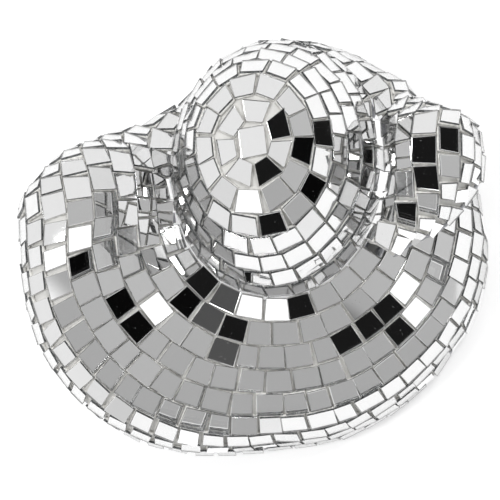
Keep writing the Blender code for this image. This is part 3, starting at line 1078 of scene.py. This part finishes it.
class PARTYHAT_OT_studio(Operator):
    """Set up the pale table, the soft light and the camera"""

    bl_idname = "party_hat.studio"
    bl_label = "Studio"

    def execute(self, context):
        look = context.scene.party_hat_studio
        self.table(look)
        self.room(look)
        self.lights(look)
        self.camera(look)
        context.scene.view_settings.view_transform = "Standard"
        return {"FINISHED"}

    def table(self, look):
        """A white acrylic table, lit from below so that it keeps its tone right up to the hat."""
        bm = bmesh.new()
        bmesh.ops.create_grid(bm, x_segments=1, y_segments=1, size=6)
        mesh = bpy.data.meshes.new("table")
        bm.to_mesh(mesh)
        bm.free()
        floor = put("table", mesh)
        floor.location.z = -0.0002
        mesh.materials.append(shader_of(
            "white_acrylic_lit", Base_Color=linear("floor"), Roughness=0.6,
            Emission_Color=(1, 1, 1, 1), Emission_Strength=look.table_glow)[0])

    def room(self, look):
        """What the mirrors see: white walls, with grey, dark and bright patches on them."""
        world = bpy.data.worlds.new("room")
        world.use_nodes = True
        bpy.context.scene.world = world
        tree = world.node_tree
        tree.nodes.clear()
        ray = node(tree, "ShaderNodeTexCoord").outputs["Generated"]
        tone = look.wall_light
        for azimuth, elevation, inner, outer, strength in ROOM_PATCHES.values():
            axis = tuple(direction(azimuth, elevation))
            near = node(tree, "ShaderNodeVectorMath", {0: ray, 1: axis}, operation="DOT_PRODUCT")
            share = node(tree, "ShaderNodeMapRange", {
                "Value": near.outputs["Value"],
                "From Min": math.cos(math.radians(outer)),
                "From Max": math.cos(math.radians(inner)),
            }, interpolation_type="SMOOTHSTEP")
            mixed = node(tree, "ShaderNodeMix", {"Factor": share.outputs["Result"], "A": tone, "B": strength},
                         data_type="FLOAT")
            tone = mixed.outputs["Result"]
        seen = node(tree, "ShaderNodeLightPath").outputs["Is Camera Ray"]
        tone = node(tree, "ShaderNodeMix", {"Factor": seen, "A": tone, "B": 0.95}, data_type="FLOAT")
        light = node(tree, "ShaderNodeBackground", {"Strength": tone.outputs["Result"],
                                                    "Color": (1, 1, 1, 1)})
        node(tree, "ShaderNodeOutputWorld", {"Surface": light.outputs["Background"]})

    def lights(self, look):
        for name, azimuth, elevation, width, height, power in SOFTBOXES:
            way = Vector(direction(azimuth, elevation))
            lamp = bpy.data.lights.new(name, "AREA")
            lamp.shape = "RECTANGLE"
            lamp.size = width
            lamp.size_y = height
            lamp.energy = power * look.softbox_power
            made = put(name, lamp)
            made.location = Vector(CAMERA_TARGET) + way * SOFTBOX_DISTANCE
            made.rotation_euler = way.to_track_quat("Z", "Y").to_euler()

    def camera(self, look):
        back = Vector(direction(look.azimuth, look.elevation))
        right = Vector((0, 1, 0)).cross(back).normalized()
        up = back.cross(right)
        lens = bpy.data.cameras.new("camera")
        lens.lens = look.focal_length
        lens.sensor_width = 36
        lens.clip_start = 0.01
        made = put("camera", lens)
        turn = Matrix((right, up, back)).transposed()
        made.matrix_world = Matrix.Translation(Vector(CAMERA_TARGET) + back * CAMERA_DISTANCE) @ turn.to_4x4()
        bpy.context.scene.camera = made


class HatSettings(PropertyGroup):
    """Sizes and colours of the hat's tiles and cloth"""

    tile_size: FloatProperty(
        name="Tile Size", description="Side of a stock mirror tile", default=0.021, min=0.008, max=0.04,
        unit="LENGTH")
    tile_pitch: FloatProperty(
        name="Tile Pitch", description="Distance from one tile to the next along a row", default=0.022,
        min=0.01, max=0.05, unit="LENGTH")
    tile_glass: FloatProperty(
        name="Glass", description="Thickness of the mirror glass", default=0.002, min=0.001, max=0.004,
        unit="LENGTH")
    tile_joint: FloatProperty(
        name="Joint", description="Gap left between neighbouring tiles", default=0.0012, min=0.0004,
        max=0.004, unit="LENGTH")
    tile_tilt: FloatProperty(
        name="Tilt", description="How far tiles lean from the hat's surface, in degrees", default=2.6,
        min=0.0, max=8.0)
    tile_twist: FloatProperty(
        name="Twist", description="How far tiles are turned in their places, in degrees", default=1.6,
        min=0.0, max=8.0)
    cut_wander: FloatProperty(
        name="Cut Wander", description="How uneven the hand-cut widths are, as a share of the pitch",
        default=0.06, min=0.0, max=0.3, subtype="FACTOR")
    seed: IntProperty(name="Seed", description="Which hand laid the tiles", default=7, min=0)
    glass_tint: FloatVectorProperty(
        name="Glass Tint", description="Colour of the clear glass", subtype="COLOR", size=4, min=0.0, max=1.0,
        default=linear("glass"))
    satin_colour: FloatVectorProperty(
        name="Satin", description="Colour of the lining", subtype="COLOR", size=4, min=0.0, max=1.0,
        default=linear("satin"))


class StudioSettings(PropertyGroup):
    """The studio's light and camera"""

    table_glow: FloatProperty(
        name="Table Glow", description="Light that the table gives by itself", default=0.52, min=0.0, max=3.0)
    wall_light: FloatProperty(
        name="Wall Light", description="Brightness of the white walls", default=1.0, min=0.0, max=5.0)
    softbox_power: FloatProperty(
        name="Soft Box Power", description="Scales the power of every soft box", default=1.0,
        min=0.0, max=10.0)
    azimuth: FloatProperty(
        name="Azimuth", description="Direction of the camera round the hat, in degrees",
        default=CAMERA_AZIMUTH)
    elevation: FloatProperty(
        name="Elevation", description="Height angle of the camera, in degrees",
        default=CAMERA_ELEVATION, min=-90.0, max=90.0)
    focal_length: FloatProperty(
        name="Focal Length", description="Focal length of the lens in millimetres", default=162.9, min=10.0,
        max=400.0)


def settings():
    return bpy.context.scene.party_hat


class PARTYHAT_PT_build(Panel):
    """Lists the hat's sizes and the steps that build it"""

    bl_idname = "PARTYHAT_PT_build"
    bl_label = "Party Hat"
    bl_space_type = "VIEW_3D"
    bl_region_type = "UI"
    bl_category = "Party Hat"

    def draw(self, context):
        for group in (context.scene.party_hat, context.scene.party_hat_studio):
            column = self.layout.column()
            for name in group.__annotations__:
                column.prop(group, name)
        for step in STEPS:
            self.layout.operator(step.bl_idname)


STEPS = (PARTYHAT_OT_felt, PARTYHAT_OT_crown_tiles, PARTYHAT_OT_brim_tiles, PARTYHAT_OT_linings,
         PARTYHAT_OT_sweatband, PARTYHAT_OT_edge, PARTYHAT_OT_studio)
CLASSES = (HatSettings, StudioSettings, *STEPS, PARTYHAT_PT_build)


def register():
    for made in CLASSES:
        bpy.utils.register_class(made)
    bpy.types.Scene.party_hat = PointerProperty(type=HatSettings)
    bpy.types.Scene.party_hat_studio = PointerProperty(type=StudioSettings)


def unregister():
    del bpy.types.Scene.party_hat_studio
    del bpy.types.Scene.party_hat
    for made in reversed(CLASSES):
        bpy.utils.unregister_class(made)


def main():
    register()
    bpy.ops.party_hat.felt()
    bpy.ops.party_hat.crown_tiles()
    bpy.ops.party_hat.brim_tiles()
    bpy.ops.party_hat.linings()
    bpy.ops.party_hat.sweatband()
    bpy.ops.party_hat.edge()
    bpy.ops.party_hat.studio()


if __name__ == "__main__":
    main()
